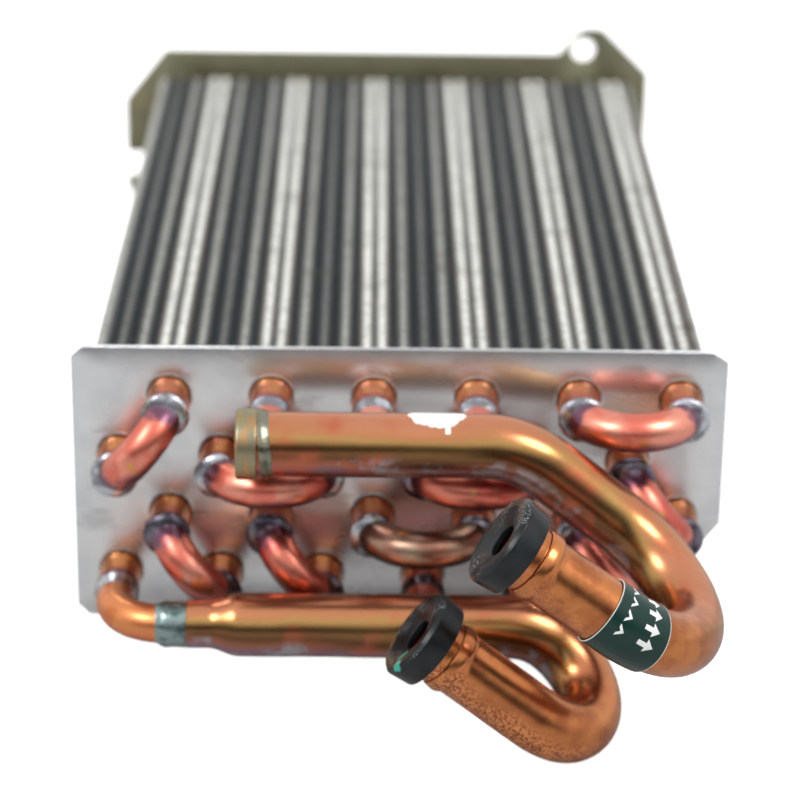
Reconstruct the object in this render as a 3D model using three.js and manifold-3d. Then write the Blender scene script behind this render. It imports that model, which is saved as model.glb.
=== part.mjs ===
// A finned water coil: copper hairpin tubes through pressed aluminium fins, in millimetres.
//
// Frame: the origin is the centre of the front tube sheet's outer face. +X runs to the right along the tube
// rows, +Y runs back through the fins and +Z is up, so all the pipework stands at -Y.
// Tubes are named by row, T at the top to W at the bottom, and by column, 1 on the left to 6 on the right.

import * as THREE from 'three';
import { mergeVertices } from 'three/addons/utils/BufferGeometryUtils.js';
import Module from 'manifold-3d';

// Tube grid: 3/8 in tubes at 1 in by 5/8 in, each second row shifted by half a pitch.
const COLUMN_PITCH = 25.4;
const ROW_PITCH = 15.875;
const ROW_NAMES = 'TUVW';
const COLUMNS = 6;
const FIRST_COLUMN_X = -57.15;

// Fin block and tube sheets
const FIN_WIDTH = 152.4;
const FIN_HEIGHT = 63.5;
const FIN_DEPTH = 254;
const RIB_COUNT = 30;
const RIB_HEIGHT = 2;
const SHEET_THICKNESS = 1.2;
const TUBE_HOLE_RADIUS = 5.7;
const JOINT_GAP = 0.3;

// The front sheet is a rectangle with three small cut corners and a large one at the lower right.
const FRONT_SHEET = {
  halfWidth: 81.2, halfHeight: 36.75, cut: 3, rightCut: 4, largeCutX: 60.3, largeCutZ: -9.5,
};

// The rear sheet has a screw slot in its left ear and a screw hole in its upper right ear.
const REAR_SHEET_CORNERS = [
  [-81.2, -25], [-81.2, -38], [-78.2, -41], [77.3, -41], [82.3, -36], [82.3, 34.5],
  [67, 49.5], [61, 49.5], [57.8, 47.5], [53, 41], [-75, 41], [-88.3, 24],
];
const EAR_HOLE = { x: 60.8, z: 42.4, radius: 3.6 };
const EAR_SLOT = { mouthX: -88.3, endX: -81.5, z: 2.2, radius: 3.75 };
const LEFT_EAR_FOOT_Z = -4.5;

// Hairpins and return bends
const TUBE_RADIUS = 4.95;
const TUBE_BORE = 4.55;
const BEND_TUBE_RADIUS = 4.7625;
const BEND_TUBE_BORE = 4.35;
const BELL_RADIUS = 5.5;
const BELL_BORE = 5.15;
const BELL_LENGTH = 5.6;
const BELL_DEPTH = 4.8;
const STUB_LENGTH = 13;
const INSERTION = 4.2;
const REAR_STUB_LENGTH = 4;
const BEND_CORNER_RADIUS = 6;

// Inlet and outlet pipes: 5/8 in tube
const PIPE_RADIUS = 7.94;
const PIPE_BORE = 6.9;
const SADDLE_RADIUS = 5.25;
const SADDLE_INSERTION = 2;
const NECK_LENGTH = 2.7;
const BEAD_LENGTH = 4.4;
const BEAD_RADIUS = 8.65;
const BEAD_SLOPE = 1.2;
const BEAD_STEP = 0.8;
const PLUGGED_LENGTH = 3.5;

// The inlet pipe: a header along row T, a dip to the right, then a U-bend to the front.
const INLET = {
  headerY: -30, headerZ: 1.5 * ROW_PITCH, startX: -37.5, firstBendX: 19.7,
  firstRadius: 25, dipAngle: 38.2, middleRun: 20.5, returnRadius: 24, tilt: 5, legDip: 36.8, returnRun: 26.9,
};

// The outlet pipe: the same, shorter and tighter, along row W.
const OUTLET = {
  headerY: -30.7, headerZ: -1.5 * ROW_PITCH, startX: -39.5, firstBendX: 27.4,
  firstRadius: 16, dipAngle: 36.8, middleRun: 0, returnRadius: 14.9, tilt: 16, legDip: 38, returnRun: 30,
};

// Reducer that swages the outlet pipe down to a 3/8 in socket, and the elbow that enters it
const SOCKET_MOUTH_X = -57.3;
const SOCKET_END_X = -51.4;
const SOCKET_RADIUS = 5.55;
const SOCKET_BORE = 5.1;
const REDUCER_RADIUS = 5.85;
const ELBOW_INSERTION = 0.5;
const ELBOW_RADIUS = 12.7;

// End cap of the inlet header
const END_CAP_LEFT_X = -39.1;
const END_CAP_LENGTH = 5;
const END_CAP_RADIUS = 8.55;
const END_CAP_BORE = 8.2;
const END_CAP_WALL = 1.3;
const END_CAP_ROUND = 0.6;

// Rubber caps on the two pipe ends
const CAP_RADIUS = 11.3;
const CAP_LENGTH = 6.7;
const CAP_SOCKET_RADIUS = 8.3;
const CAP_HOLE_RADIUS = 3.9;
const CAP_LAND = { inner: 8.4, outer: 10.3 };
const CAP_ROUND = 0.6;
const CAP_BEVEL = 1.1;
const CAP_DISH = 1.3;

// Flow label on the inlet pipe
const LABEL_ON_LEG = 3.7;
const LABEL_BORE = 8.3;
const LABEL_RADIUS = 8.55;

// How far a cutting tool runs past the piece it cuts
const OVERSHOOT = 1;

// Fineness of the facets
const TUBE_SEGMENTS = 10;
const HOLE_SEGMENTS = 8;
const PIPE_SEGMENTS = 16;
const CAP_SEGMENTS = 20;
const BEND_STEP = 45;
const PIPE_BEND_STEP = 24;

const wasm = await Module();
wasm.setup();

const X_AXIS = new THREE.Vector3(1, 0, 0);
const Y_AXIS = new THREE.Vector3(0, 1, 0);
const REAR_SHEET_Y = SHEET_THICKNESS + FIN_DEPTH + 2 * JOINT_GAP;

/** Straight runs through corner points, each inner corner rounded to its own radius. */
class PipePath extends THREE.Curve {
  constructor(corners, radii, stepAngle = BEND_STEP) {
    super();
    this.stations = [];
    const heading = (i) => corners[i + 1].clone().sub(corners[i]).normalize();
    this.addStation(corners[0], heading(0));
    radii.forEach((radius, i) => this.addBend(corners[i + 1], heading(i), heading(i + 1), radius, stepAngle));
    this.addStation(corners.at(-1), heading(corners.length - 2));
  }

  addStation(point, tangent) {
    const last = this.stations.at(-1);
    if (!last || last.point.distanceTo(point) > 1e-4) {
      this.stations.push({ point: point.clone(), tangent: tangent.clone() });
    }
  }

  addBend(corner, before, after, radius, stepAngle) {
    const angle = before.angleTo(after);
    const inward = after.clone().addScaledVector(before, -Math.cos(angle)).normalize();
    const start = corner.clone().addScaledVector(before, -radius * Math.tan(angle / 2));
    const centre = start.clone().addScaledVector(inward, radius);
    const steps = Math.ceil(THREE.MathUtils.radToDeg(angle) / stepAngle - 1e-6);
    for (let i = 0; i <= steps; i += 1) {
      const turned = (angle * i) / steps;
      const point = centre.clone()
        .addScaledVector(inward, -radius * Math.cos(turned))
        .addScaledVector(before, radius * Math.sin(turned));
      const tangent = before.clone().multiplyScalar(Math.cos(turned)).addScaledVector(inward, Math.sin(turned));
      this.addStation(point, tangent);
    }
  }

  get steps() {
    return this.stations.length - 1;
  }

  // A pipe needs no ring inside a straight run, so u counts stations and not length.
  getPointAt(u, target = new THREE.Vector3()) {
    return target.copy(this.stations[Math.round(u * this.steps)].point);
  }

  getTangentAt(u, target = new THREE.Vector3()) {
    return target.copy(this.stations[Math.round(u * this.steps)].tangent);
  }
}

/** A round bar along a path, or a pipe if it has a bore. */
function sweep(path, radius, bore = 0, segments = TUBE_SEGMENTS) {
  const ring = new THREE.Shape().absarc(0, 0, radius, 0, 2 * Math.PI);
  if (bore > 0) ring.holes.push(new THREE.Path().absarc(0, 0, bore, 0, 2 * Math.PI, true));
  return new THREE.ExtrudeGeometry(ring, { steps: path.steps, curveSegments: segments / 2, extrudePath: path });
}

/** A turned piece. Its profile is a list of [radius, distance along the axis]. */
function turned(profile, origin, axis, segments = PIPE_SEGMENTS) {
  const points = profile.map(([radius, along]) => new THREE.Vector2(radius, along));
  const geometry = new THREE.LatheGeometry(points, segments);
  const placing = new THREE.Matrix4().compose(
    origin,
    new THREE.Quaternion().setFromUnitVectors(Y_AXIS, axis),
    new THREE.Vector3(1, 1, 1),
  );
  return geometry.applyMatrix4(placing);
}

/** A solid bar of the given radius between two distances from an origin. */
function bar(radius, from, to, origin, axis, segments = TUBE_SEGMENTS) {
  return turned([[0, from], [radius, from], [radius, to], [0, to]], origin, axis, segments);
}

function toSolid(geometry) {
  const bare = geometry.index ? geometry.clone() : geometry;
  bare.deleteAttribute('normal');
  bare.deleteAttribute('uv');
  const merged = mergeVertices(bare, 1e-4);
  const vertProperties = merged.attributes.position.array;
  const triVerts = new Uint32Array(merged.index.array);
  return new wasm.Manifold(new wasm.Mesh({ numProp: 3, vertProperties, triVerts }));
}

/** Joins the first list of pieces and cuts away the second. */
function build(added, removed) {
  const join = (pieces) => pieces.map(toSolid).reduce((whole, piece) => whole.add(piece));
  const { vertProperties, triVerts } = join(added).subtract(join(removed)).getMesh();
  const geometry = new THREE.BufferGeometry();
  geometry.setAttribute('position', new THREE.BufferAttribute(vertProperties, 3));
  geometry.setIndex(new THREE.BufferAttribute(triVerts, 1));
  geometry.computeVertexNormals();
  return geometry;
}

/** The centre of a tube, such as T2, in the plane of the front tube sheet. */
function tubeCentre(name, y = 0) {
  const row = ROW_NAMES.indexOf(name[0]);
  const shift = row % 2 ? COLUMN_PITCH / 2 : 0;
  const x = FIRST_COLUMN_X + (Number(name[1]) - 1) * COLUMN_PITCH - shift;
  return new THREE.Vector3(x, y, (1.5 - row) * ROW_PITCH);
}

function allTubes() {
  return [...ROW_NAMES].flatMap((row) => Array.from({ length: COLUMNS }, (_, i) => `${row}${i + 1}`));
}

/**
 * A U between two tubes: it starts and ends at startY and starts to bend at bendY. Its bend is a semicircle,
 * or two quarter circles and a straight run if a smaller corner radius is given.
 */
function hairpinPath(first, second, startY, bendY, cornerRadius = Infinity) {
  const radius = Math.min(tubeCentre(first).distanceTo(tubeCentre(second)) / 2, cornerRadius);
  const apexY = bendY + Math.sign(bendY - startY) * radius;
  const corners = [
    tubeCentre(first, startY), tubeCentre(first, apexY), tubeCentre(second, apexY), tubeCentre(second, startY),
  ];
  return new PipePath(corners, [radius, radius]);
}

/** A U-shaped tube through the fins, open at the front, where both its ends are belled. */
function hairpin(first, second) {
  const bendY = REAR_SHEET_Y + SHEET_THICKNESS + REAR_STUB_LENGTH;
  const path = hairpinPath(first, second, -STUB_LENGTH, bendY);
  const bore = hairpinPath(first, second, -STUB_LENGTH - OVERSHOOT, bendY);
  const ends = [tubeCentre(first, -STUB_LENGTH), tubeCentre(second, -STUB_LENGTH)];
  return build(
    [sweep(path, TUBE_RADIUS), ...ends.map((end) => bar(BELL_RADIUS, 0, BELL_LENGTH, end, Y_AXIS))],
    [sweep(bore, TUBE_BORE), ...ends.map((end) => bar(BELL_BORE, -OVERSHOOT, BELL_DEPTH, end, Y_AXIS))],
  );
}

/** A U-shaped fitting that joins two hairpins and enters the bell of each. */
function returnBend(first, second) {
  const path = hairpinPath(
    first, second, -STUB_LENGTH + INSERTION, -STUB_LENGTH - JOINT_GAP, BEND_CORNER_RADIUS,
  );
  return sweep(path, BEND_TUBE_RADIUS, BEND_TUBE_BORE);
}

/** A straight tube from a hairpin's bell into the side of a header. */
function feeder(name, header) {
  const end = header.headerY + PIPE_RADIUS - SADDLE_INSERTION;
  const path = new PipePath([tubeCentre(name, -STUB_LENGTH + INSERTION), tubeCentre(name, end)], []);
  return sweep(path, BEND_TUBE_RADIUS, BEND_TUBE_BORE);
}

/** A flat sheet across Y with a hole for every tube. */
function tubeSheet(outline, extraHoles = []) {
  const shape = outline.clone();
  const holes = allTubes().map((name) => ({ centre: tubeCentre(name), radius: TUBE_HOLE_RADIUS }));
  for (const { centre, radius } of [...holes, ...extraHoles]) {
    shape.holes.push(new THREE.Path().absarc(centre.x, centre.z, radius, 0, 2 * Math.PI, true));
  }
  const settings = { depth: SHEET_THICKNESS, bevelEnabled: false, curveSegments: HOLE_SEGMENTS / 2 };
  return new THREE.ExtrudeGeometry(shape, settings).rotateX(Math.PI / 2).translate(0, SHEET_THICKNESS, 0);
}

function outlineOf(points) {
  return new THREE.Shape(points.map(([x, z]) => new THREE.Vector2(x, z)));
}

function frontSheet() {
  const { halfWidth: side, halfHeight: top, cut, rightCut, largeCutX, largeCutZ } = FRONT_SHEET;
  return tubeSheet(outlineOf([
    [-side, -top + cut], [-side + cut, -top], [largeCutX, -top], [side, largeCutZ],
    [side, top - cut], [side - rightCut, top], [-side + cut, top], [-side, top - cut],
  ]));
}

/** The rear sheet's outline runs from the left ear's foot round to its slot, and into the slot. */
function rearSheet() {
  const { mouthX, endX, z, radius } = EAR_SLOT;
  const outline = outlineOf([...REAR_SHEET_CORNERS, [mouthX, z + radius], [endX, z + radius]]);
  outline.absarc(endX, z, radius, Math.PI / 2, -Math.PI / 2, true);
  outline.lineTo(mouthX, z - radius);
  outline.lineTo(mouthX, LEFT_EAR_FOOT_Z);
  const earHole = { centre: new THREE.Vector3(EAR_HOLE.x, 0, EAR_HOLE.z), radius: EAR_HOLE.radius };
  return tubeSheet(outline, [earHole]);
}

/** The fins as one block: a ribbed top and underside, and a bore for every tube. */
function finPack() {
  const pitch = FIN_DEPTH / (RIB_COUNT - 0.5);
  const top = FIN_HEIGHT / 2;
  const valley = top - RIB_HEIGHT;
  const edge = [];
  for (let i = 0; i < RIB_COUNT; i += 1) {
    edge.push([i * pitch, top], [(i + 0.5) * pitch, top]);
    if (i < RIB_COUNT - 1) edge.push([(i + 0.5) * pitch, valley], [(i + 1) * pitch, valley]);
  }
  const underside = edge.map(([y, z]) => [y, -z]).reverse();
  const profile = outlineOf([...edge, ...underside]);
  const block = new THREE.ExtrudeGeometry(profile, { depth: FIN_WIDTH, bevelEnabled: false });
  // The profile is drawn as (Y, Z) and pulled along X.
  block.applyMatrix4(new THREE.Matrix4().makeBasis(Y_AXIS, new THREE.Vector3(0, 0, 1), X_AXIS));
  block.translate(-FIN_WIDTH / 2, SHEET_THICKNESS + JOINT_GAP, 0);
  const bores = allTubes().map((name) => (
    bar(TUBE_HOLE_RADIUS, 0, REAR_SHEET_Y + OVERSHOOT, tubeCentre(name), Y_AXIS, HOLE_SEGMENTS)
  ));
  return build([block], bores);
}

/** The path of an inlet or outlet pipe, and where its return leg starts, points and ends. */
function pipeRun(pipe) {
  const dip = THREE.MathUtils.degToRad(pipe.dipAngle);
  const tilt = THREE.MathUtils.degToRad(pipe.tilt);
  const ahead = new THREE.Vector3(Math.cos(dip), 0, -Math.sin(dip));
  const below = new THREE.Vector3(-Math.sin(dip), 0, -Math.cos(dip));
  const across = new THREE.Vector3(0, -Math.cos(tilt), 0).addScaledVector(below, Math.sin(tilt));
  const firstCorner = pipe.firstRadius * Math.tan(dip / 2);
  const start = new THREE.Vector3(pipe.startX, pipe.headerY, pipe.headerZ);
  const dipCorner = new THREE.Vector3(pipe.firstBendX + firstCorner, pipe.headerY, pipe.headerZ);
  const returnStart = dipCorner.clone().addScaledVector(ahead, firstCorner + pipe.middleRun);
  const near = returnStart.clone().addScaledVector(ahead, pipe.returnRadius);
  const legDip = THREE.MathUtils.degToRad(pipe.legDip);
  const heading = new THREE.Vector3(-Math.cos(legDip), 0, Math.sin(legDip));
  const lastCorner = pipe.returnRadius * Math.tan(across.angleTo(heading) / 2);
  const far = near.clone().addScaledVector(across, pipe.returnRadius + lastCorner);
  const legStart = far.clone().addScaledVector(heading, lastCorner);
  const neck = legStart.clone().addScaledVector(heading, pipe.returnRun);
  const radii = [pipe.firstRadius, pipe.returnRadius, pipe.returnRadius];
  const pathTo = (extra, before = 0) => {
    const first = start.clone().addScaledVector(X_AXIS, -before);
    const last = neck.clone().addScaledVector(heading, extra);
    return new PipePath([first, dipCorner, near, far, last], radii, PIPE_BEND_STEP);
  };
  return { across, heading, legStart, neck, pathTo };
}

/** The pipe itself, open at both ends, with a saddle hole for each feeder. */
function headerPipe(pipe, feeders, startPieces = [], startBores = []) {
  const { heading, neck, pathTo } = pipeRun(pipe);
  const beadEnd = -NECK_LENGTH;
  const beadStart = beadEnd - BEAD_LENGTH;
  const bead = turned([
    [0, beadStart], [PIPE_RADIUS, beadStart], [BEAD_RADIUS, beadStart + BEAD_SLOPE],
    [BEAD_RADIUS, beadEnd - BEAD_STEP], [PIPE_RADIUS, beadEnd], [0, beadEnd],
  ], neck, heading);
  const saddles = feeders.map((name) => bar(
    SADDLE_RADIUS, pipe.headerY, pipe.headerY + PIPE_RADIUS + OVERSHOOT, tubeCentre(name), Y_AXIS,
  ));
  const pipeWall = sweep(pathTo(PLUGGED_LENGTH), PIPE_RADIUS, 0, PIPE_SEGMENTS);
  const waterway = sweep(pathTo(PLUGGED_LENGTH + OVERSHOOT, OVERSHOOT), PIPE_BORE, 0, PIPE_SEGMENTS);
  return build([pipeWall, bead, ...startPieces], [waterway, ...saddles, ...startBores]);
}

/** The outlet pipe starts with a long taper and a small socket for the elbow. */
function outletPipe(feeders) {
  const origin = new THREE.Vector3(0, OUTLET.headerY, OUTLET.headerZ);
  const wall = PIPE_RADIUS - PIPE_BORE;
  const taperEndX = OUTLET.startX + OVERSHOOT;
  const reducer = turned([
    [0, SOCKET_MOUTH_X], [SOCKET_RADIUS, SOCKET_MOUTH_X], [REDUCER_RADIUS, SOCKET_END_X],
    [PIPE_RADIUS, taperEndX], [0, taperEndX],
  ], origin, X_AXIS);
  const waterway = turned([
    [0, SOCKET_MOUTH_X - OVERSHOOT], [SOCKET_BORE, SOCKET_MOUTH_X - OVERSHOOT], [SOCKET_BORE, SOCKET_END_X],
    [REDUCER_RADIUS - wall, SOCKET_END_X], [PIPE_BORE, taperEndX], [0, taperEndX],
  ], origin, X_AXIS);
  return headerPipe(OUTLET, feeders, [reducer], [waterway]);
}

/** A quarter turn from the bell of W1 into the outlet pipe's socket. */
function outletElbow() {
  const corner = tubeCentre('W1', OUTLET.headerY);
  const end = new THREE.Vector3(SOCKET_END_X - ELBOW_INSERTION, OUTLET.headerY, OUTLET.headerZ);
  const start = tubeCentre('W1', -STUB_LENGTH + INSERTION);
  const path = new PipePath([start, corner, end], [ELBOW_RADIUS], PIPE_BEND_STEP);
  return sweep(path, BEND_TUBE_RADIUS, BEND_TUBE_BORE);
}

/** A brazed cup over the inlet header's left end, coped at the back to clear the first feeder. */
function inletEndCap() {
  const origin = new THREE.Vector3(END_CAP_LEFT_X, INLET.headerY, INLET.headerZ);
  const cup = turned([
    [0, 0], [END_CAP_RADIUS - END_CAP_ROUND, 0], [END_CAP_RADIUS, END_CAP_ROUND],
    [END_CAP_RADIUS, END_CAP_LENGTH], [0, END_CAP_LENGTH],
  ], origin, X_AXIS);
  const hollow = bar(END_CAP_BORE, END_CAP_WALL, END_CAP_LENGTH + OVERSHOOT, origin, X_AXIS, PIPE_SEGMENTS);
  const copeEnd = INLET.headerY + END_CAP_RADIUS + OVERSHOOT;
  const cope = bar(SADDLE_RADIUS, INLET.headerY, copeEnd, tubeCentre('T2'), Y_AXIS);
  return build([cup], [hollow, cope]);
}

/** A rubber cap pushed over a pipe's end, with a bevelled rim, a dished face and a vent hole. */
function rubberCap(pipe) {
  const { heading, neck } = pipeRun(pipe);
  const floor = PLUGGED_LENGTH + JOINT_GAP;
  return turned([
    [CAP_SOCKET_RADIUS, 0], [CAP_RADIUS - CAP_ROUND, 0], [CAP_RADIUS, CAP_ROUND],
    [CAP_RADIUS, CAP_LENGTH - CAP_BEVEL],
    [CAP_LAND.outer, CAP_LENGTH], [CAP_LAND.inner, CAP_LENGTH], [CAP_HOLE_RADIUS, CAP_LENGTH - CAP_DISH],
    [CAP_HOLE_RADIUS, floor], [CAP_SOCKET_RADIUS, floor], [CAP_SOCKET_RADIUS, 0],
  ], neck, heading, CAP_SEGMENTS);
}

/** The label band: it covers the last facet of the inlet pipe's U-bend and the start of its return leg. */
function flowLabel() {
  const { across, heading, legStart } = pipeRun(INLET);
  const turn = across.angleTo(heading) / Math.ceil(90 / PIPE_BEND_STEP);
  const toCorner = INLET.returnRadius * Math.tan(turn / 2);
  const corner = legStart.clone().addScaledVector(heading, -toCorner);
  const arriving = heading.clone().multiplyScalar(Math.cos(turn)).addScaledVector(across, Math.sin(turn));
  const start = corner.clone().addScaledVector(arriving, -toCorner);
  const end = legStart.clone().addScaledVector(heading, LABEL_ON_LEG);
  const path = new PipePath([start, corner, end], [INLET.returnRadius], PIPE_BEND_STEP);
  return sweep(path, LABEL_RADIUS, LABEL_BORE, PIPE_SEGMENTS);
}

const FINISH = {
  galvanised: { color: 0xb9bab8, roughness: 0.45, metalness: 0.9 },
  chromated: { color: 0x77765a, roughness: 0.5, metalness: 0.8 },
  aluminium: { color: 0xc9cbcc, roughness: 0.35, metalness: 0.95 },
  copper: { color: 0xc0714f, roughness: 0.3, metalness: 1 },
  heatedCopper: { color: 0xa8673a, roughness: 0.32, metalness: 1 },
  rubber: { color: 0x2c2d2e, roughness: 0.6, metalness: 0 },
  label: { color: 0x1d4038, roughness: 0.4, metalness: 0 },
};

const HAIRPINS = [
  'T1 U2', 'T2 U3', 'T3 U4', 'T4 T5', 'T6 U6', 'U1 V1', 'U5 V4', 'V2 V3', 'V5 W5', 'V6 W6', 'W1 W2', 'W3 W4',
];
const RETURN_BENDS = ['T1 U1', 'T5 T6', 'U2 U3', 'U4 U5', 'U6 V6', 'V1 W2', 'V2 W3', 'V3 V4', 'V5 W6'];
const INLET_TUBES = ['T2', 'T3', 'T4'];
const OUTLET_TUBES = ['W4', 'W5'];

const coil = new THREE.Group();

function addPiece(name, geometry, finish) {
  const mesh = new THREE.Mesh(geometry, new THREE.MeshStandardMaterial(finish));
  mesh.name = name;
  coil.add(mesh);
  return mesh;
}

addPiece('front_tube_sheet', frontSheet(), FINISH.galvanised);
addPiece('rear_tube_sheet', rearSheet(), FINISH.chromated).position.y = REAR_SHEET_Y;
addPiece('fin_pack', finPack(), FINISH.aluminium);
for (const pair of HAIRPINS) {
  addPiece(`hairpin_${pair.replace(' ', '_')}`, hairpin(...pair.split(' ')), FINISH.copper);
}
for (const pair of RETURN_BENDS) {
  addPiece(`return_bend_${pair.replace(' ', '_')}`, returnBend(...pair.split(' ')), FINISH.copper);
}
for (const name of INLET_TUBES) addPiece(`inlet_feeder_${name}`, feeder(name, INLET), FINISH.copper);
for (const name of OUTLET_TUBES) addPiece(`outlet_feeder_${name}`, feeder(name, OUTLET), FINISH.copper);
addPiece('outlet_elbow', outletElbow(), FINISH.heatedCopper);
addPiece('inlet_header_pipe', headerPipe(INLET, INLET_TUBES), FINISH.heatedCopper);
addPiece('inlet_header_end_cap', inletEndCap(), FINISH.heatedCopper);
addPiece('outlet_header_pipe', outletPipe(OUTLET_TUBES), FINISH.heatedCopper);
addPiece('inlet_rubber_cap', rubberCap(INLET), FINISH.rubber);
addPiece('outlet_rubber_cap', rubberCap(OUTLET), FINISH.rubber);
addPiece('inlet_flow_label', flowLabel(), FINISH.label);

export default coil;
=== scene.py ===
"""The looks of a finned water coil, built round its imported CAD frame. Metres, +Z up.

The origin is the centre of the front tube sheet's outer face, +X runs along the tube rows and +Y back
through the fins. Tubes are named by row, T at the top to W, and by column, 1 on the left to 6.
"""

import math
import random
from bisect import bisect_right

import bpy
import numpy as np
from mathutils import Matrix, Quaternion, Vector, geometry, noise


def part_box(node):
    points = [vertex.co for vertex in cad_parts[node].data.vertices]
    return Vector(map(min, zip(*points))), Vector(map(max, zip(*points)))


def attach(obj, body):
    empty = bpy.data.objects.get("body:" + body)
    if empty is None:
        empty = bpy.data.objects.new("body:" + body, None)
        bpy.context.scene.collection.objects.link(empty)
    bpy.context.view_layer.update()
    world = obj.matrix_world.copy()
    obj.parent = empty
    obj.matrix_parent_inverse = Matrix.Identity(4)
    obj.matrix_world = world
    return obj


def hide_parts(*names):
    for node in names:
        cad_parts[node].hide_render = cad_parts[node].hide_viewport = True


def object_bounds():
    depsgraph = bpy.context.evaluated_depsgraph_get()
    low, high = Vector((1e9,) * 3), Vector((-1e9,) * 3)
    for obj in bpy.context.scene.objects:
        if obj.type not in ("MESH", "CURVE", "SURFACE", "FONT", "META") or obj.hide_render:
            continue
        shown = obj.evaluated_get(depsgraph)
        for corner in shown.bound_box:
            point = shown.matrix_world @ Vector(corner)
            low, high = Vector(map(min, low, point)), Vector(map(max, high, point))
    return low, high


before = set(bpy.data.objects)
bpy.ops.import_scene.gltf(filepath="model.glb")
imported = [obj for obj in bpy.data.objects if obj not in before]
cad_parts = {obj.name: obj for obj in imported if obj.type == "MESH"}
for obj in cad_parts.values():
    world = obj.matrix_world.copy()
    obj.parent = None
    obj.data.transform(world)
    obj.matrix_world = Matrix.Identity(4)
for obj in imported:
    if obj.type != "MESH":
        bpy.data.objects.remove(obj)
CAD_LOW, CAD_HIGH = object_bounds()

MM = 0.001
ROOT = "coil"

# Tube grid
COLUMN_PITCH = 25.4 * MM
ROW_PITCH = 15.875 * MM
ROW_NAMES = "TUVW"
COLUMNS = 6

# Sheets
HOLE_RADIUS = 5.55 * MM
LIP_HEIGHT = 0.2 * MM
FRONT_CUT = 3 * MM
FRONT_RIGHT_CUT = 4 * MM
FRONT_LARGE_CUT = (60.3 * MM, -9.5 * MM)
REAR_CORNERS = [
    (-81.2, -25), (-81.2, -38), (-78.2, -41), (77.3, -41), (82.3, -36), (82.3, 34.5),
    (67, 49.5), (61, 49.5), (57.8, 47.5), (53, 41), (-75, 41), (-88.3, 24),
]
EAR_HOLE = (60.8 * MM, 42.4 * MM, 3.6 * MM)  # x, z and radius
EAR_SLOT = (-88.3 * MM, -81.5 * MM, 2.2 * MM, 3.75 * MM)  # x of its mouth and of its end, z and radius
LEFT_EAR_FOOT_Z = -4.5 * MM

# Fins. Each ripple has a distance from the tube's centre line, a height and a width, in millimetres. The
# height sets both the fin's lean and its painted highlight.
FIN_COUNT = 120
FIN_GROUPS = 12
FIN_THICKNESS = 0.16 * MM
RIPPLE_DEPTH = 3 * MM
RIPPLE_SIZE = 1.9 * MM
RIPPLE_SAMPLES = 180
RIPPLES = [(1.95, 1.0, 1.5), (7.4, 0.72, 1.35), (12.7, 0.5, 1.2)]

# Hairpins and the tubes brazed into their bells
TUBE_RADIUS = 4.95 * MM
TUBE_BORE = 4.55 * MM
STUB_LENGTH = 13 * MM
REAR_STUB_LENGTH = 3.7 * MM
INSERTION = 4.2 * MM
BEND_START = 8.3 * MM
BEND_TUBE_RADIUS = 4.7625 * MM
BEND_TUBE_BORE = 4.35 * MM

# Header pipes
PIPE_RADIUS = 7.8 * MM
PIPE_BORE = 6.9 * MM
SADDLE_INSERTION = 2 * MM
PLUGGED_LENGTH = 3.5 * MM
INLET = {
    "header": (-30.0, 23.8125), "start_x": -37.5, "first_bend_x": 19.7, "first_radius": 25, "dip": 38.2,
    "middle_run": 20.5, "return_radius": 24, "tilt": 5, "leg_dip": 36.8, "return_run": 26.9,
}
OUTLET = {
    "header": (-30.7, -23.8125), "start_x": -57.3, "first_bend_x": 27.4, "first_radius": 16, "dip": 36.8,
    "middle_run": 0, "return_radius": 14.9, "tilt": 16, "leg_dip": 38, "return_run": 30,
}
SOCKET_LENGTH = 5.9 * MM
SOCKET_RADIUS = 5.3 * MM
REDUCER_RADIUS = 5.9 * MM
REDUCER_STRAIGHT = 5.2 * MM
REDUCER_TAPER = 7.4 * MM
ELBOW_RADIUS = 12.7 * MM
LABEL_ON_BEND = 9.42 * MM
LABEL_ON_LEG = 3.7 * MM
LABEL_RADIUS = 8.38 * MM
CAP_LENGTH = 6.7 * MM
ARROW_TURN = 0.46

HAIRPINS = "T1_U2 T2_U3 T3_U4 T4_T5 T6_U6 U1_V1 U5_V4 V2_V3 V5_W5 V6_W6 W1_W2 W3_W4".split()
RETURN_BENDS = "T1_U1 T5_T6 U2_U3 U4_U5 U6_V6 V1_W2 V2_W3 V3_V4 V5_W6".split()
INLET_TUBES = ["T2", "T3", "T4"]
OUTLET_TUBES = ["W4", "W5"]


# ---- places from the frame

def centre_of(node):
    low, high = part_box(node)
    return (low + high) / 2


def tube_centre(name, y=0.0):
    """A tube's centre, such as T2's, counted from the feeder that enters T2."""
    first = centre_of("inlet_feeder_T2")
    row = ROW_NAMES.index(name[0])
    shift = COLUMN_PITCH / 2 if row % 2 else 0.0
    x = first.x + (int(name[1]) - 2) * COLUMN_PITCH - shift
    return Vector((x, y, first.z - row * ROW_PITCH))


def tube_centres():
    return [tube_centre(f"{row}{column}") for row in ROW_NAMES for column in range(1, COLUMNS + 1)]


# ---- meshes

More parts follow.
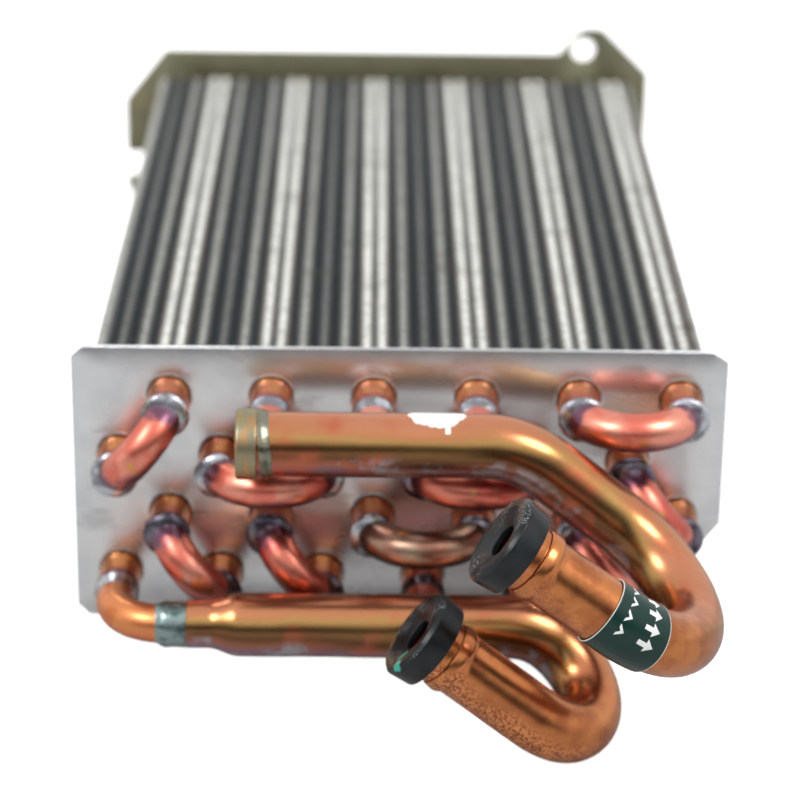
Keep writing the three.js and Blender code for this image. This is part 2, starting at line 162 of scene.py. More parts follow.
class PipePath:
    """Straight runs through corner points, with each inner corner rounded to its own radius."""

    def __init__(self, corners, radii=()):
        corners = [Vector(corner) for corner in corners]
        self.runs = []
        self.length = 0.0
        here = corners[0]
        for i, radius in enumerate(radii):
            before = (corners[i + 1] - corners[i]).normalized()
            after = (corners[i + 2] - corners[i + 1]).normalized()
            angle = before.angle(after)
            start = corners[i + 1] - before * radius * math.tan(angle / 2)
            inward = (after - before * math.cos(angle)).normalized()
            self.add_run((start - here).length, here, before)
            self.add_run(radius * angle, start, before, inward, radius)
            here = start + inward * radius * (1 - math.cos(angle)) + before * radius * math.sin(angle)
        self.add_run((corners[-1] - here).length, here, (corners[-1] - corners[-2]).normalized())

    def add_run(self, length, start, ahead, inward=None, radius=0.0):
        if length > 1e-7:
            self.runs.append((self.length, start, ahead, inward, radius))
            self.length += length

    def at(self, distance):
        """The point and the heading at a distance from the start, or a little beyond either end."""
        index = bisect_right([run[0] for run in self.runs], distance) - 1
        from_start, start, ahead, inward, radius = self.runs[max(index, 0)]
        along = distance - from_start
        if inward is None:
            return start + ahead * along, ahead
        turned = along / radius
        out = ahead * math.sin(turned) + inward * (1 - math.cos(turned))
        return start + out * radius, ahead * math.cos(turned) + inward * math.sin(turned)

    def frames(self, distances):
        """At each distance: the point, the heading and two directions across it that don't twist."""
        side = None
        frames = {}
        for distance in sorted(set(distances)):
            point, ahead = self.at(distance)
            side = ahead.orthogonal() if side is None else side - ahead * side.dot(ahead)
            side = side.normalized()
            frames[distance] = (point, ahead, side, ahead.cross(side))
        return frames

    def stations(self, first, last, spacing):
        """Distances between two places: evenly spaced round the bends, and only the ends of straight runs."""
        marks = {first, last}
        for index, (from_start, _, _, inward, _) in enumerate(self.runs):
            end = self.runs[index + 1][0] if index + 1 < len(self.runs) else self.length
            steps = max(1, round((end - from_start) / spacing)) if inward is not None else 1
            marks.update(from_start + (end - from_start) * i / steps for i in range(steps + 1))
        return sorted(mark for mark in marks if first <= mark <= last)


def in_scene(name, data):
    """A new object with this data, in the scene."""
    made = bpy.data.objects.new(name, data)
    bpy.context.scene.collection.objects.link(made)
    return made


class Piece:
    """Closed shells gathered into one mesh. Each face has a material, and each vertex a tint from 0 to 1.

    The tint marks where a material changes; on the fins it carries their painted highlight and painted shade.
    Its attribute is tint_and_painted_light.
    """

    def __init__(self):
        self.points = []
        self.tints = []
        self.faces = []
        self.slots = []
        self.count = 0

    def add(self, points, face_lists, slot=0, tint=None):
        """Adds points and lists of faces. Each list holds faces with the same number of corners."""
        self.points.append(np.array(points, float))
        self.tints.append(np.zeros(len(points)) if tint is None else np.array(tint, float))
        for faces in face_lists:
            if len(faces):
                self.faces.append(np.array(faces) + self.count)
                self.slots.append(np.full(len(faces), slot))
        self.count += len(points)

    def turn(self, path, profile, slot=0, segments=32, tint=lambda along: 0.0, move=lambda point, *_: point):
        """Turns a closed profile of (distance along the path, radius) about the path."""
        frames = path.frames([along for along, _ in profile])
        points, tints = [], []
        for along, radius in profile:
            centre, ahead, side, up = frames[along]
            for k in range(segments):
                angle = 2 * math.pi * k / segments
                out = side * math.cos(angle) + up * math.sin(angle)
                points.append(move(centre + out * radius, out, ahead))
            tints.extend([tint(along)] * segments)
        ring = np.arange(segments)
        after = (ring + 1) % segments
        faces = []
        for i in range(len(profile)):
            near, far = i * segments, (i + 1) % len(profile) * segments
            faces.append(np.stack([near + ring, near + after, far + after, far + ring], 1))
        self.add(points, [np.vstack(faces)], slot, tints)

    def finish(self, name, materials, replaces=(), body=ROOT, sharp=35):
        mesh = bpy.data.meshes.new(name)
        sizes = np.concatenate([np.full(len(faces), faces.shape[1]) for faces in self.faces])
        corners = np.concatenate([faces.ravel() for faces in self.faces])
        mesh.vertices.add(self.count)
        mesh.vertices.foreach_set("co", np.vstack(self.points).ravel())
        mesh.loops.add(len(corners))
        mesh.loops.foreach_set("vertex_index", corners)
        mesh.polygons.add(len(sizes))
        mesh.polygons.foreach_set("loop_start", np.cumsum(sizes) - sizes)
        mesh.polygons.foreach_set("material_index", np.concatenate(self.slots))
        mesh.update(calc_edges=True)
        for material in materials:
            mesh.materials.append(material)
        tint = mesh.attributes.new("tint_and_painted_light", "FLOAT", "POINT")
        tint.data.foreach_set("value", np.concatenate(self.tints))
        mesh.shade_smooth()
        mesh.set_sharp_from_angle(angle=math.radians(sharp))
        made = in_scene(name, mesh)
        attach(made, body)
        if replaces:
            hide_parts(*replaces)


def rounded(profile, radius, steps):
    """A closed profile with each corner replaced by a curve that starts and ends a radius away from it."""
    smooth = []
    for i, corner in enumerate(profile):
        corner = Vector(corner)
        before = Vector(profile[i - 1]) - corner
        after = Vector(profile[(i + 1) % len(profile)]) - corner
        start = corner + before.normalized() * min(radius, before.length * 0.45)
        end = corner + after.normalized() * min(radius, after.length * 0.45)
        for k in range(steps + 1):
            t = k / steps
            smooth.append(tuple(start * (1 - t) ** 2 + corner * 2 * t * (1 - t) + end * t * t))
    return smooth


def lumps(size, scale, seed):
    """A push along the surface's outward direction that varies smoothly from place to place."""
    offset = Vector((seed * 7.31, seed * 3.17, seed * 5.73))
    return lambda point, out, ahead: point + out * size * noise.noise(point / scale + offset)


def in_mm(profile, start=0.0):
    """A profile of (distance, radius) given in millimetres, moved on by a start in metres."""
    return [(start + along * MM, radius * MM) for along, radius in profile]


def circle(x, z, radius, segments=32):
    turns = [2 * math.pi * k / segments for k in range(segments)]
    return [(x + radius * math.cos(turn), z + radius * math.sin(turn)) for turn in turns]


def inset(outline, distance):
    """An anticlockwise outline moved inwards by a distance."""
    moved = []
    for i, corner in enumerate(outline):
        here = Vector(corner)
        before = (here - Vector(outline[i - 1])).normalized()
        after = (Vector(outline[(i + 1) % len(outline)]) - here).normalized()
        left_before = Vector((-before.y, before.x))
        left_after = Vector((-after.y, after.x))
        bisector = (left_before + left_after).normalized()
        moved.append(tuple(here + bisector * distance / max(bisector.dot(left_before), 0.3)))
    return moved


def inside(point, loop):
    """True if a point is inside a closed loop, by counting the edges to its right."""
    x, z = point
    crossings = 0
    for i, (x1, z1) in enumerate(loop):
        x2, z2 = loop[i - 1]
        if (z1 > z) != (z2 > z) and x < (x2 - x1) * (z - z1) / (z2 - z1) + x1:
            crossings += 1
    return crossings % 2 == 1


def triangulate(outline, holes, extra=()):
    """Points and triangles of a flat region with holes. The loops' points come first, in their order."""
    loops = [outline, *holes]
    points = [point for loop in loops for point in loop]
    edges = []
    base = 0
    for loop in loops:
        edges.extend((base + i, base + (i + 1) % len(loop)) for i in range(len(loop)))
        base += len(loop)
    points.extend(extra)
    result = geometry.delaunay_2d_cdt([Vector(p) for p in points], edges, [], 0, 1e-9)
    flat = [tuple(point) for point in result[0]]
    triangles = []
    for face in result[2]:
        middle = tuple(sum(flat[i][axis] for i in face) / 3 for axis in (0, 1))
        if inside(middle, outline) and not any(inside(middle, hole) for hole in holes):
            triangles.append(facing(flat, tuple(face)))
    return flat, np.array(triangles)


def facing(flat, face):
    """A triangle's corners in the order that faces it to -Y."""
    (ax, az), (bx, bz), (cx, cz) = (flat[i] for i in face)
    turn = (bx - ax) * (cz - az) - (bz - az) * (cx - ax)
    return face if turn > 0 else tuple(reversed(face))


# ---- materials

def colour(code):
    """A linear colour from its usual six-digit code."""
    parts = [int(code[i:i + 2], 16) / 255 for i in (0, 2, 4)]
    return tuple(((p + 0.055) / 1.055) ** 2.4 if p > 0.04045 else p / 12.92 for p in parts) + (1.0,)


class Shader:
    """A material's node tree, written as calls that each return a socket."""

    def __init__(self, owner):
        """Starts an empty tree for a new material of this name, or for a world."""
        self.material = bpy.data.materials.new(owner) if isinstance(owner, str) else owner
        self.material.use_nodes = True
        self.tree = self.material.node_tree
        self.tree.nodes.clear()

    def node(self, kind, inputs, output=0, **settings):
        made = self.tree.nodes.new("ShaderNode" + kind)
        for key, value in settings.items():
            setattr(made, key, value)
        for key, value in inputs.items():
            if isinstance(value, bpy.types.NodeSocket):
                self.tree.links.new(value, made.inputs[key])
            else:
                made.inputs[key].default_value = value
        return made.outputs[output]

    def place(self):
        return self.node("TexCoord", {}, "Object")

    def upward(self):
        """The height of the surface's outward direction, from -1 for an underside to 1 for a top."""
        return self.node("SeparateXYZ", {0: self.node("NewGeometry", {}, "Normal")}, 2)

    def axis(self, index):
        return self.node("SeparateXYZ", {0: self.place()}, index)

    def attribute(self, name):
        return self.node("Attribute", {}, "Fac", attribute_name=name)

    def noise(self, scale, detail=3, stretch=None, offset=0.0):
        """Noise whose features are about 1/scale metres, from 0 to 1."""
        place = self.place()
        if stretch or offset:
            inputs = {"Vector": place, "Scale": stretch or (1, 1, 1), "Location": (offset, offset, offset)}
            place = self.node("Mapping", inputs)
        return self.node("TexNoise", {"Vector": place, "Scale": scale, "Detail": detail})

    def maths(self, operation, a, b=0.0, clamp=False):
        return self.node("Math", {0: a, 1: b}, operation=operation, use_clamp=clamp)

    def times(self, a, b, clamp=False):
        return self.maths("MULTIPLY", a, b, clamp)

    def plus(self, a, b):
        return self.maths("ADD", a, b)

    def minus(self, a, b):
        return self.maths("SUBTRACT", a, b)

    def fade(self, value, low, high):
        """0 where the value is at low, 1 where it is at high, and smooth in between."""
        inputs = {"Value": value, "From Min": low, "From Max": high}
        return self.node("MapRange", inputs, interpolation_type="SMOOTHSTEP")

    def range(self, value, low, high):
        return self.node("MapRange", {"Value": value, "To Min": low, "To Max": high})

    def ramp(self, factor, stops):
        ramp = self.tree.nodes.new("ShaderNodeValToRGB")
        elements = ramp.color_ramp.elements
        while len(elements) < len(stops):
            elements.new(0.5)
        for element, (position, code) in zip(elements, stops):
            element.position = position
            element.color = colour(code)
        self.tree.links.new(factor, ramp.inputs[0])
        return ramp.outputs[0]

    def mix(self, factor, a, b, blend="MIX"):
        values = {0: factor, 6: a, 7: b}
        values = {key: colour(value) if isinstance(value, str) else value for key, value in values.items()}
        return self.node("Mix", values, 2, data_type="RGBA", blend_type=blend)

    def done(self, base, metallic=1.0, roughness=0.3, bump=None, depth=0.0, **extra):
        """Ends the material. The bump's height is 0 to 1 times the depth, in metres."""
        inputs = {"Base Color": base, "Metallic": metallic, "Roughness": roughness}
        if bump is not None:
            inputs["Normal"] = self.node("Bump", {"Height": bump, "Distance": depth, "Strength": 1.0})
        inputs.update(extra)
        self.end(self.node("BsdfPrincipled", inputs))
        return self.material

    def end(self, surface, kind="Material"):
        output = self.tree.nodes.new("ShaderNodeOutput" + kind)
        self.tree.links.new(surface, output.inputs["Surface"])


def bend_copper(name, clear, warm, dark, gold=0.5):
    """Drawn copper with the colours that a brazing flame leaves: purple and grey nearest to the joints. The
    dark colour is also painted shade on the undersides.
    """
    s = Shader(name)
    body = s.mix(s.fade(s.noise(130, 2, offset=gold), 0.42, 0.62), clear, warm)
    body = s.mix(s.fade(s.noise(210, 2, offset=3.0), 0.62, 0.74), body, "d9a05c")
    # Painted shade: the undersides, broken up by noise, darken towards the dark colour.
    shade = s.plus(s.upward(), s.times(s.noise(120, 2, offset=1.0), 0.9))
    body = s.mix(s.fade(shade, 0.3, -0.3), body, dark)
    tint = s.plus(s.attribute("tint_and_painted_light"), s.times(s.noise(260, 2), 0.55))
    body = s.mix(s.fade(tint, 0.78, 1.0), body, dark)
    body = s.mix(s.fade(tint, 1.08, 1.3), body, "8a8290")
    rough = s.range(s.noise(140, 4), 0.28, 0.42)
    coat = {"Coat Weight": 0.15, "Coat Roughness": 0.25}
    return s.done(body, 1.0, rough, s.noise(420, 3), 0.05 * MM, **coat)


def stub_copper():
    """The hairpins: orange where they leave the sheet, redder and bluer towards the bell."""
    s = Shader("stub_copper")
    body = s.mix(s.fade(s.noise(120, 2), 0.4, 0.65), "f09848", "e07c48")
    tint = s.plus(s.attribute("tint_and_painted_light"), s.times(s.noise(200, 2), 0.5))
    body = s.mix(s.fade(tint, 0.6, 0.95), body, "d8664e")
    body = s.mix(s.fade(tint, 1.0, 1.2), body, "7d5660")
    return s.done(body, 1.0, s.range(s.noise(150, 3), 0.22, 0.36), s.noise(450, 3), 0.04 * MM)


def header_copper(name, etching):
    """A header pipe: flame-coloured gold and brown, with painted reflections in bands round it, then plain
    copper, etched on the leg's underside.
    """
    s = Shader(name)
    flow = s.noise(45, 3, stretch=(0.55, 1.3, 1.3))
    # Painted reflections: the colour runs by the surface's height, from a salmon top through a gold highlight
    # streak and a dark brown band to a purple-grey underside, broken up by the flame's streaks.
    around = s.plus(s.times(s.upward(), 0.5), s.times(flow, 0.5))
    flame_and_painted_reflection = s.ramp(around, [
        (0.0, "94707a"), (0.1, "a46a54"), (0.22, "6e4a32"), (0.4, "8e6a42"), (0.52, "bc9258"),
        (0.6, "c4845a"), (0.74, "d08a68"),
    ])
    flame_and_painted_reflection = s.mix(s.fade(s.noise(95, 2, offset=5.0), 0.5, 0.85), flame_and_painted_reflection, "c9684c")
    # Pale grey films on the undersides: part flux film, part painted reflection of the floor.
    film_and_floor_reflection = s.times(s.fade(s.noise(150, 3, offset=9.0), 0.52, 0.64), s.fade(s.upward(), 0.1, -0.4))
    flame_and_painted_reflection = s.mix(film_and_floor_reflection, flame_and_painted_reflection, "a8a4a8")
    clean = s.mix(s.fade(s.noise(160, 4, offset=2.0), 0.35, 0.7), "d08450", "aa643e")
    spots = s.fade(s.noise(1500, 5, offset=1.0), 0.42, 0.64)
    etched = s.mix(spots, "f0a068", "94503a")
    etched = s.mix(s.fade(s.noise(1300, 4, offset=4.0), 0.56, 0.68), etched, "4a281a")
    etched = s.mix(s.fade(s.noise(110, 3, offset=6.0), 0.56, 0.74), etched, "bc9088")
    wear = s.attribute("tint_and_painted_light")
    below = s.minus(s.times(s.noise(90, 3), 0.9), s.upward())
    patchy = s.times(s.times(s.fade(below, 0.25, 0.85), s.fade(wear, 0.85, 1.0)), etching)
    body = s.mix(s.fade(wear, 0.3, 1.0), flame_and_painted_reflection, clean)
    body = s.mix(patchy, body, etched)
    body = s.mix(white_mark(s), body, "f4f4f2")
    rough = s.plus(s.range(flow, 0.2, 0.33), s.times(patchy, 0.12))
    height = s.plus(s.times(s.noise(320, 2), 0.4), s.times(s.times(spots, patchy), -0.6))
    metal = s.minus(1.0, white_mark(s))
    return s.done(body, metal, rough, height, 0.06 * MM, **{"Coat Weight": 0.08, "Coat Roughness": 0.25})


def white_mark(s):
    """A crescent of white marker on top of the inlet header, with a short drip."""
    centre_x, half_length, drip_x = 8.6 * MM, 6.4 * MM, 11.2 * MM
    x, y, z = s.axis(0), s.axis(1), s.axis(2)
    bow = s.maths("POWER", s.maths("DIVIDE", s.minus(x, centre_x), half_length), 2)
    top = INLET["header"][1] * MM + PIPE_RADIUS
    edge = s.plus(s.times(bow, 1.3 * MM), top - 1.3 * MM)
    ragged = s.times(s.minus(s.noise(700, 3), 0.5), 2.2 * MM)
    crescent = s.fade(s.minus(s.plus(z, ragged), edge), -0.1 * MM, 0.1 * MM)
    drip_side = s.fade(s.maths("ABSOLUTE", s.minus(x, drip_x)), 0.75 * MM, 0.5 * MM)
    drip = s.times(drip_side, s.fade(z, top - 2.6 * MM, top - 2.3 * MM))
    front = s.fade(y, -24 * MM, -27 * MM)
    return s.times(s.maths("MAXIMUM", crescent, drip), front, clamp=True)


def braze(name, bright, dull, olive):
    """Silver braze: bright where it flowed, dull or olive where flux was left."""
    s = Shader(name)
    body = s.mix(s.fade(s.noise(260, 3), 0.42, 0.6), bright, dull)
    body = s.mix(s.fade(s.noise(330, 2, offset=4.0), 0.58, 0.7), body, olive)
    return s.done(body, 1.0, s.range(s.noise(300, 3), 0.18, 0.4), s.noise(900, 3), 0.08 * MM)


def cap_brass():
    s = Shader("end_cap_brass")
    streaks = s.noise(160, 4, stretch=(1.6, 0.6, 0.6))
    body = s.ramp(streaks, [(0.3, "8a8064"), (0.45, "a8966c"), (0.55, "96917a"), (0.7, "c0905c")])
    return s.done(body, 1.0, s.range(streaks, 0.28, 0.46), s.noise(600, 4), 0.06 * MM)


def rubber(name, dabs=()):
    """Moulded black rubber with a grey bloom, rough crumbs on the rim and any dabs of teal paint."""
    s = Shader(name)
    bloom = s.fade(s.noise(140, 4), 0.35, 0.7)
    body = s.mix(bloom, "0b0d0f", "1d2225")
    crumbs = s.times(s.attribute("tint_and_painted_light"), s.fade(s.noise(120, 2, offset=7.0), 0.46, 0.58))
    grains = s.fade(s.noise(2600, 2), 0.52, 0.66)
    sparkle = s.times(crumbs, grains)
    body = s.mix(s.times(sparkle, 0.8), body, "a9adad")
    for dab in dabs:
        away = s.node("VectorMath", {0: s.place(), 1: tuple(dab)}, 1, operation="DISTANCE")
        ragged = s.plus(away, s.times(s.noise(420, 2), 2.4 * MM))
        body = s.mix(s.fade(ragged, 2.9 * MM, 2.6 * MM), body, "36a08c")
    height = s.plus(s.times(s.noise(500, 4), 0.3), sparkle)
    return s.done(body, 0.0, s.range(bloom, 0.28, 0.44), height, 0.14 * MM, **{"Specular IOR Level": 0.32})


def label_film():
    s = Shader("label_film")
    body = s.mix(s.noise(200, 3), "0d2a24", "14372f")
    body = s.mix(s.fade(s.attribute("tint_and_painted_light"), 0.4, 0.6), body, "d8dcd8")
    return s.done(body, 0.0, 0.26, s.noise(350, 2), 0.03 * MM, **{"Specular IOR Level": 0.35})


def label_ink():
    s = Shader("label_ink")
    return s.done(s.mix(s.noise(900, 3), "f2f3f0", "dfe2dd"), 0.0, 0.4)


def galvanised():
    """Rolled galvanised steel: pale, faintly mottled, with a few scuffs."""
    s = Shader("galvanised_steel")
    mottle = s.noise(110, 4)
    body = s.ramp(mottle, [(0.3, "d2d4d6"), (0.5, "dcdddd"), (0.7, "e3e4e4")])
    scuffs = s.fade(s.noise(60, 5, stretch=(1, 1, 2.5), offset=2.0), 0.6, 0.74)
    body = s.mix(s.times(scuffs, 0.35), body, "8f8c88")
    rough = s.plus(s.range(s.noise(40, 3), 0.2, 0.32), s.times(scuffs, 0.1))
    return s.done(body, 0.95, rough, mottle, 0.03 * MM)


def chromate():
    """Olive-yellow chromated steel, darker and greener in patches."""
    s = Shader("olive_chromate")
    body = s.ramp(s.noise(38, 4), [(0.3, "7a785a"), (0.5, "918f73"), (0.62, "86846a"), (0.75, "988e6e")])
    body = s.mix(s.fade(s.noise(120, 4, offset=3.0), 0.6, 0.75), body, "7c836c")
    return s.done(body, 0.45, s.range(s.noise(90, 4), 0.36, 0.55), s.noise(700, 3), 0.02 * MM)


def fin_aluminium():
    """Thin aluminium with painted light: a painted highlight on the ripples' crests over each tube and at the
    fins' ends, and painted blue-grey shade between.
    """
    s = Shader("fin_aluminium")
    # The tint runs from painted shade at 0 to a painted highlight at 1.
    body = s.ramp(s.attribute("tint_and_painted_light"), [
        (0.0, "5c6268"), (0.3, "929494"), (0.55, "c0c0ba"), (0.8, "d4d4ce"), (1.0, "dadad4"),
    ])
    stains = s.noise(55, 4, stretch=(1, 2.2, 1))
    body = s.mix(s.times(s.fade(stains, 0.56, 0.75), 0.5), body, "8b8a80")
    body = s.mix(s.times(s.fade(s.noise(420, 3), 0.46, 0.66), 0.35), body, "7a7a76")
    return s.done(body, 0.6, s.range(s.noise(300, 3), 0.35, 0.5))


# ---- sheets and fins

def plate(name, outline, holes, lip_holes, material, node):
    """A flat sheet across Y with softened edges. Each lipped hole has a small rolled collar towards -Y."""
    low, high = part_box(node)
    y, thickness = low.y, high.y - low.y
    soft = 0.25 * MM
    flare = 0.6 * MM
    rim = inset(outline, soft)
    loops = [circle(x, z, radius + flare) for x, z, radius in lip_holes]
    loops += [circle(x, z, radius + soft) for x, z, radius in holes]
    flat, triangles = triangulate(rim, loops)
    count = len(flat)
    points = [(x, y, z) for x, z in flat] + [(x, y + thickness, z) for x, z in flat]
    bevel = 0.07 * MM
    edge = [(bevel, bevel), (0.0, soft), (0.0, thickness - soft), (bevel, thickness - bevel)]
    walls = [[[(x, y + back, z) for x, z in inset(outline, inwards)] for inwards, back in edge]]
    for x, z, radius in lip_holes:
        steps = [
            (flare * 0.6, -LIP_HEIGHT * 0.25), (flare * 0.3, -LIP_HEIGHT * 0.8), (flare * 0.12, -LIP_HEIGHT),
            (0, -LIP_HEIGHT * 0.8), (0, thickness - soft), (soft, thickness),
        ]
        walls.append([circle_at(x, z, radius + out, y + back) for out, back in steps])
    for x, z, radius in holes:
        walls.append([circle_at(x, z, radius, y + back) for back in (soft, thickness - soft)])
    faces = []
    base = 0
    for sections in walls:
        connect(points, faces, base, count, sections)
        base += len(sections[0])
    piece = Piece()
    piece.add(points, [triangles, triangles[:, ::-1] + count, faces])
    piece.finish(name, [material], [node], sharp=50)


def circle_at(x, z, radius, y):
    return [(px, y, pz) for px, pz in circle(x, z, radius)]


def connect(points, faces, base, to_back, sections):
    """Joins a loop on the front face to the same loop on the back face through ring-shaped sections."""
    length = len(sections[0])
    starts = [base]
    for section in sections:
        starts.append(len(points))
        points.extend(section)
    starts.append(base + to_back)
    anticlockwise = base == 0
    for near, far in zip(starts, starts[1:]):
        for i in range(length):
            j = (i + 1) % length
            quad = (near + i, far + i, far + j, near + j)
            faces.append(quad if anticlockwise else tuple(reversed(quad)))


def front_outline():
    low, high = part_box("front_tube_sheet")
    cut_x, cut_z = FRONT_LARGE_CUT
    cut, right_cut = FRONT_CUT, FRONT_RIGHT_CUT
    return [
        (low.x, low.z + cut), (low.x + cut, low.z), (cut_x, low.z), (high.x, cut_z),
        (high.x, high.z - cut), (high.x - right_cut, high.z), (low.x + cut, high.z), (low.x, high.z - cut),
    ]


def rear_outline():
    outline = [(x * MM, z * MM) for x, z in REAR_CORNERS]
    mouth_x, end_x, z, radius = EAR_SLOT
    outline.append((mouth_x, z + radius))
    for k in range(17):
        angle = math.pi / 2 - math.pi * k / 16
        outline.append((end_x + radius * math.cos(angle), z + radius * math.sin(angle)))
    return outline + [(mouth_x, z - radius), (mouth_x, LEFT_EAR_FOOT_Z)]


def make_sheets():
    tubes = [(centre.x, centre.z, HOLE_RADIUS) for centre in tube_centres()]
    front, rear = "front_tube_sheet", "rear_tube_sheet"
    plate("front_sheet", front_outline(), [], tubes, galvanised(), front)
    plate("rear_sheet", rear_outline(), [EAR_HOLE] + tubes, [], chromate(), rear)


def fin_template():
    """The flat fin's points, triangles and boundary edges, with a fine grid near both long edges."""
    low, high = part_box("fin_pack")
    rows = [0.0, 0.45, 0.95, 1.6, 3.0]
    xs = [low.x + (high.x - low.x) * i / RIPPLE_SAMPLES for i in range(RIPPLE_SAMPLES + 1)]
    outline = [(x, low.z) for x in xs] + [(x, high.z) for x in reversed(xs)]
    grid = [(x, z) for x in xs[1:-1] for row in rows[1:] for z in (low.z + row * MM, high.z - row * MM)]
    holes = [circle(centre.x, centre.z, TUBE_RADIUS + 0.1 * MM, 16) for centre in tube_centres()]
    flat, triangles = triangulate(outline, holes, grid)
    edges = dict.fromkeys((face[i], face[(i + 1) % 3]) for face in triangles.tolist() for i in range(3))
    border = [(a, b) for a, b in edges if (b, a) not in edges]
    return np.array(flat), triangles, np.array(border)


def fin_shape(flat):
    """How far each point of a fin leans back, and how much painted highlight its metal gets, by the ripples
    of its edge and the nearness of the fin's ends.
    """
    low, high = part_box("fin_pack")
    from_tube = np.mod(flat[:, 0] - tube_centre("T1").x + COLUMN_PITCH / 2, COLUMN_PITCH) - COLUMN_PITCH / 2
    ripple = np.zeros(len(flat))
    for place, height, width in RIPPLES:
        away = np.abs(np.abs(from_tube) - place * MM)
        ripple = np.maximum(ripple, 0) + height * np.exp(-((away / (width * MM)) ** 2))
    from_end = np.minimum(flat[:, 0] - low.x, high.x - flat[:, 0])
    # Painted highlight on the ripples' crests and at the fin's two ends; the rest is painted shade.
    bright = np.maximum(ripple, 0.9 * np.exp(-((from_end / (2.4 * MM)) ** 2)))
    depth = np.minimum(flat[:, 1] - low.z, high.z - flat[:, 1])
    fade = np.clip(1 - depth / RIPPLE_DEPTH, 0, 1) ** 2
    return (ripple - 0.35) * fade * RIPPLE_SIZE, np.clip(bright, 0, 1)


def make_fins():
    """All fins, in groups that each make one piece. Each fin has its own small bends."""
    low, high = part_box("fin_pack")
    flat, triangles, border = fin_template()
    lean, bright = fin_shape(flat)
    count = len(flat)
    a, b = border[:, 0], border[:, 1]
    walls = np.stack([a, a + count, b + count, b], 1)
    pitch = (high.y - low.y - 3 * MM) / (FIN_COUNT - 1)
    dice = random.Random(11)
    material = fin_aluminium()
    for group in range(FIN_GROUPS):
        piece = Piece()
        for k in range(FIN_COUNT // FIN_GROUPS):
            number = group * (FIN_COUNT // FIN_GROUPS) + k
            y = low.y + 1.4 * MM + number * pitch + dice.uniform(-0.1, 0.1) * MM
            offset = lean + dents(flat, dice)
            front = np.column_stack([flat[:, 0], y + offset, flat[:, 1]])
            back = front + (0, FIN_THICKNESS, 0)
            faces = [triangles, triangles[:, ::-1] + count, walls]
            # Each point's painted highlight goes to the material as its tint.
            piece.add(np.vstack([front, back]), faces, tint=np.tile(bright, 2))
        replaced = ["fin_pack"] if group == 0 else []
        piece.finish(f"fins_{group + 1:02d}", [material], replaced, sharp=50)


def dents(flat, dice):
    """A few places where a fin's edge has been pushed forwards or back, and a slow wave along it."""
    low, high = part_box("fin_pack")
    x = flat[:, 0]
    depth = high.z - flat[:, 1]
    near_top = np.clip(1 - depth / (5 * MM), 0, 1) ** 2
    wave = 0.05 * MM * np.sin(x * dice.uniform(60, 140) + dice.uniform(0, 6))
    for _ in range(dice.choice((1, 2, 3))):
        centre = dice.uniform(low.x, high.x)
        width = dice.uniform(1.5, 4) * MM
        wave = wave + dice.uniform(-0.4, 0.4) * MM * np.exp(-((x - centre) / width) ** 2)
    return wave * near_top


# ---- tubes

def u_path(first, second, start_y, bend_y):
    """A U between two tubes that starts and ends at start_y, with its semicircle beginning at bend_y."""
    radius = (tube_centre(first) - tube_centre(second)).length / 2
    apex_y = bend_y + math.copysign(radius, bend_y - start_y)
    corners = [
        tube_centre(first, start_y), tube_centre(first, apex_y),
        tube_centre(second, apex_y), tube_centre(second, start_y),
    ]
    return PipePath(corners, [radius, radius])


def wall(outer, bore):
    """A pipe wall's closed profile from the outside's profile and the bore's, both running forwards."""
    return outer + bore[::-1]


def bend_wall(marks):
    """The wall of the tube that bends and feeders are made of."""
    return wall([(s, BEND_TUBE_RADIUS) for s in marks], [(s, BEND_TUBE_BORE) for s in marks])


def mirrored(ends, length):
    """A profile's beginning with its mirror image added at the far end."""
    return ends + [(length - along, radius) for along, radius in reversed(ends)]


def make_hairpin(pair, copper):
    """A U-shaped tube through the fins, with a bell at each of its two front ends."""
    first, second = pair.split("_")
    rear_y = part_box("rear_tube_sheet")[1].y + REAR_STUB_LENGTH
    path = u_path(first, second, -STUB_LENGTH, rear_y)
    mouth = [
        (0.0, 5.3), (0.15, 5.46), (0.5, 5.55), (1.3, 5.55), (2.4, 5.42), (3.6, 5.27), (5, 5.2), (14.1, 5.2),
        (16.2, 4.95),
    ]
    bell = [(0.0, 5.05), (0.4, 5.0), (4.6, 5.0), (5.2, 4.55)]
    mouth, bell = in_mm(mouth), in_mm(bell)
    plain_from = 20 * MM
    bend = path.stations(plain_from, path.length - plain_from, 0.9 * MM)
    outer = mouth + [(s, TUBE_RADIUS) for s in bend] + mirrored(mouth, path.length)[len(mouth):]
    bore = bell + [(s, TUBE_BORE) for s in bend] + mirrored(bell, path.length)[len(bell):]
    piece = Piece()
    piece.turn(path, wall(outer, bore), tint=lambda s: joint_heat(min(s, path.length - s), 7 * MM))
    piece.finish(f"tube_{pair}", [copper], [f"hairpin_{pair}"])


def joint_heat(distance, reach):
    """1 at a brazed joint and 0 at the end of its reach."""
    return max(0.0, 1 - max(distance, 0.0) / reach)


def add_braze_ring(piece, path, mouth, seed):
    """A long fillet of braze from a bell's mouth out along the straight tube that enters it."""
    ring = [
        (-0.4, 5.35), (-0.15, 5.52), (0.4, 5.56), (1.0, 5.42), (1.7, 5.2), (2.5, 5.0), (3.3, 4.87),
        (4.0, 4.78), (4.0, 4.5), (-0.4, 4.5),
    ]
    piece.turn(path, in_mm(ring, mouth), 1, move=lumps(0.14 * MM, 4 * MM, seed))


